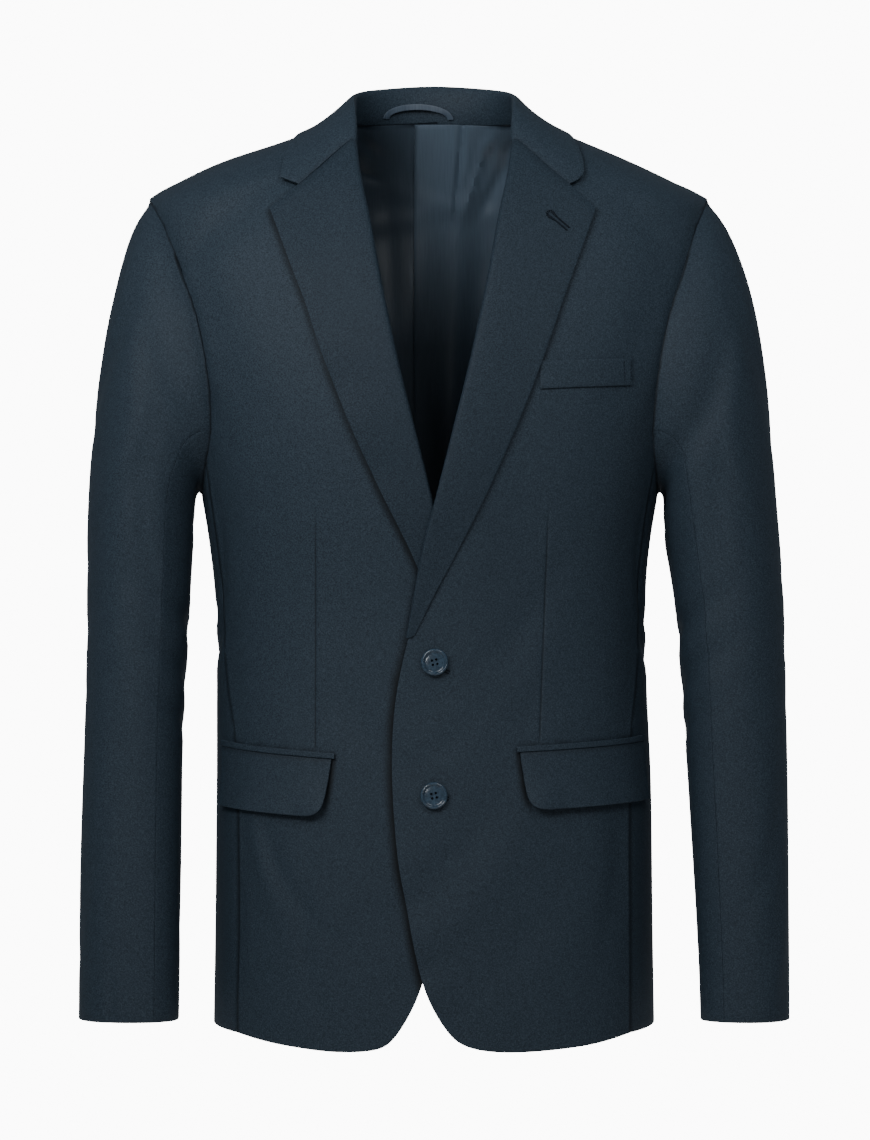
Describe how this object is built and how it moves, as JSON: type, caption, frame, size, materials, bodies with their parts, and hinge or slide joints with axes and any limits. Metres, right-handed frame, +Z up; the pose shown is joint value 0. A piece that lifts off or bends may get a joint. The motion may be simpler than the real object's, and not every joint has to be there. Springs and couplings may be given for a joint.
{
  "type": "blazer",
  "caption": "Tailored jacket in worn form with no wearer: notch lapels, buttoned front, breast welt, flap pockets, set-in sleeves and an open hollow body.",
  "frame": {"origin": "middle of the neck opening at the height of the neck points, where the shoulders of the wearer hold it", "axes": "+Z up, -Y the front of the jacket, +X the wearer's left"},
  "size_m": [0.5777, 0.2631, 0.7873],
  "materials": {
    "suiting": "fine twill-woven navy suiting, matt",
    "lining": "navy satin lining, soft sheen",
    "loop_strap": "narrow satin strap",
    "button_resin": "dark navy moulded resin, semi-gloss"
  },
  "bodies": {
    "root": {"front_left": "suiting", "front_right": "suiting", "side_left": "suiting", "side_right": "suiting", "back_left": "suiting", "back_right": "suiting", "sleeve_top_left": "suiting", "sleeve_top_right": "suiting", "sleeve_under_left": "suiting", "sleeve_under_right": "suiting", "lapel_left": "suiting", "lapel_right": "suiting", "collar": "suiting", "flap_left": "suiting", "flap_right": "suiting", "jetting_left": "suiting", "jetting_right": "suiting", "breast_welt": "suiting", "lining_back_left": "lining", "lining_back_right": "lining", "hanger_loop": "loop_strap", "button_upper": "button_resin", "button_lower": "button_resin"}
  },
  "joints": []
}
